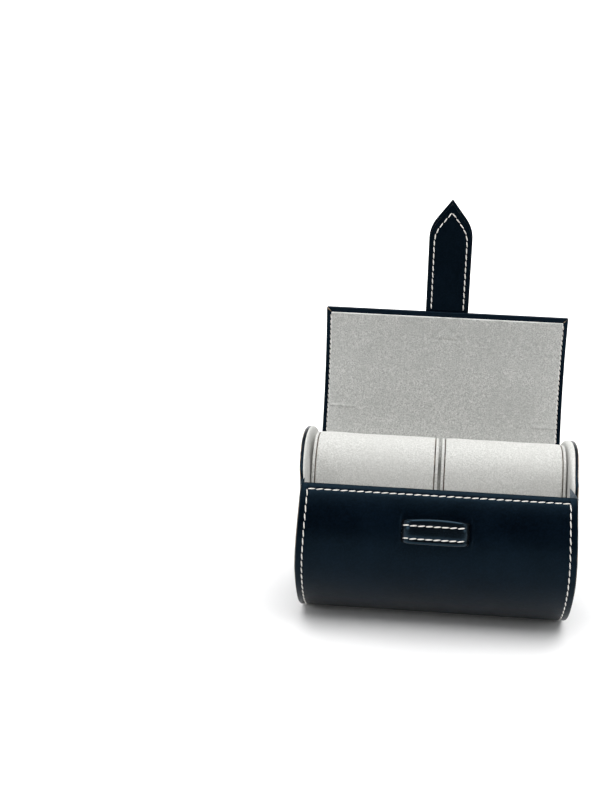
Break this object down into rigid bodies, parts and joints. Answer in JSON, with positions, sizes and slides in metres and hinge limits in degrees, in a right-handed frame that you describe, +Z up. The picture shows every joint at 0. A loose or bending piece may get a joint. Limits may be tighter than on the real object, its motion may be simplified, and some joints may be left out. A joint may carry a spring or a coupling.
{
  "type": "watch travel case",
  "caption": "Drum-shaped leather travel case with a curling hinged lid, strap and keeper, and lift-out watch cushions.",
  "frame": {"origin": "middle of the flat underside that the case stands on", "axes": "+X along the case to the right, -Y towards the front with the keeper, +Z up"},
  "size_m": [0.1312, 0.1058, 0.2032],
  "materials": {
    "leather": "smooth black-navy leather, soft sheen",
    "under_leather": "smooth black leather, less sheen",
    "board": "grey fibre board",
    "suede_lining": "pale grey suede",
    "cushion_suede": "pale grey suede",
    "foam": "soft foam"
  },
  "bodies": {
    "case": {"wrap_leather": "leather", "wrap_board": "board", "wrap_lining": "suede_lining", "keeper_band": "leather", "end_left_suede": "suede_lining", "end_left_core": "board", "end_left_leather": "leather", "end_right_suede": "suede_lining", "end_right_core": "board", "end_right_leather": "leather"},
    "lid_1": {"lid_1_leather": "leather", "lid_1_board": "board", "lid_1_lining": "suede_lining"},
    "lid_2": {"lid_2_leather": "leather", "lid_2_board": "board", "lid_2_lining": "suede_lining"},
    "lid_3": {"lid_3_leather": "leather", "lid_3_board": "board", "lid_3_lining": "suede_lining"},
    "lid_4": {"lid_4_leather": "leather", "lid_4_board": "board", "lid_4_lining": "suede_lining"},
    "lid_5": {"lid_5_leather": "leather", "lid_5_board": "board", "lid_5_lining": "suede_lining", "strap_root_outer": "leather", "strap_root_under": "under_leather"},
    "strap_1": {"strap_1_outer": "leather", "strap_1_under": "under_leather"},
    "strap_2": {"strap_2_outer": "leather", "strap_2_under": "under_leather"},
    "strap_3": {"strap_3_outer": "leather", "strap_3_under": "under_leather"},
    "strap_4": {"strap_4_outer": "leather", "strap_4_under": "under_leather"},
    "cushion_left": {"cushion_left_sleeve": "cushion_suede", "cushion_left_core": "foam", "cushion_left_cap_outer": "cushion_suede", "cushion_left_cap_inner": "cushion_suede"},
    "cushion_right": {"cushion_right_sleeve": "cushion_suede", "cushion_right_core": "foam", "cushion_right_cap_outer": "cushion_suede", "cushion_right_cap_inner": "cushion_suede"}
  },
  "joints": [
    {"name": "lid_hinge", "type": "hinge", "parent": "case", "child": "lid_1", "pos_m": [0, 0.04054, 0.06367], "axis": [-1, 0, 0], "range_deg": [-50, 60]},
    {"name": "lid_bend_1", "type": "hinge", "parent": "lid_1", "child": "lid_2", "pos_m": [0, 0.0425, 0.07251], "axis": [-1, 0, 0], "range_deg": [-16.18, 7]},
    {"name": "lid_bend_2", "type": "hinge", "parent": "lid_2", "child": "lid_3", "pos_m": [0, 0.0477, 0.0895], "axis": [-1, 0, 0], "range_deg": [-16.18, 7]},
    {"name": "lid_bend_3", "type": "hinge", "parent": "lid_3", "child": "lid_4", "pos_m": [0, 0.05078, 0.10699], "axis": [-1, 0, 0], "range_deg": [-16.18, 7]},
    {"name": "lid_bend_4", "type": "hinge", "parent": "lid_4", "child": "lid_5", "pos_m": [0, 0.05171, 0.12472], "axis": [-1, 0, 0], "range_deg": [-16.18, 7]},
    {"name": "strap_fold", "type": "hinge", "parent": "lid_5", "child": "strap_1", "pos_m": [0, 0.05286, 0.1426], "axis": [-1, 0, 0], "range_deg": [-21.99, 4]},
    {"name": "strap_curl_1", "type": "hinge", "parent": "strap_1", "child": "strap_2", "pos_m": [0, 0.05172, 0.15894], "axis": [-1, 0, 0], "range_deg": [-18.64, 4]},
    {"name": "strap_curl_2", "type": "hinge", "parent": "strap_2", "child": "strap_3", "pos_m": [0, 0.05067, 0.17391], "axis": [-1, 0, 0], "range_deg": [-18.64, 4]},
    {"name": "strap_curl_3", "type": "hinge", "parent": "strap_3", "child": "strap_4", "pos_m": [0, 0.04963, 0.18887], "axis": [-1, 0, 0], "range_deg": [-18.64, 4]},
    {"name": "cushion_left_lift", "type": "slide", "parent": "case", "child": "cushion_left", "axis": [0, 0, 1], "range_m": [0, 0.09]},
    {"name": "cushion_right_lift", "type": "slide", "parent": "case", "child": "cushion_right", "axis": [0, 0, 1], "range_m": [0, 0.09]}
  ]
}
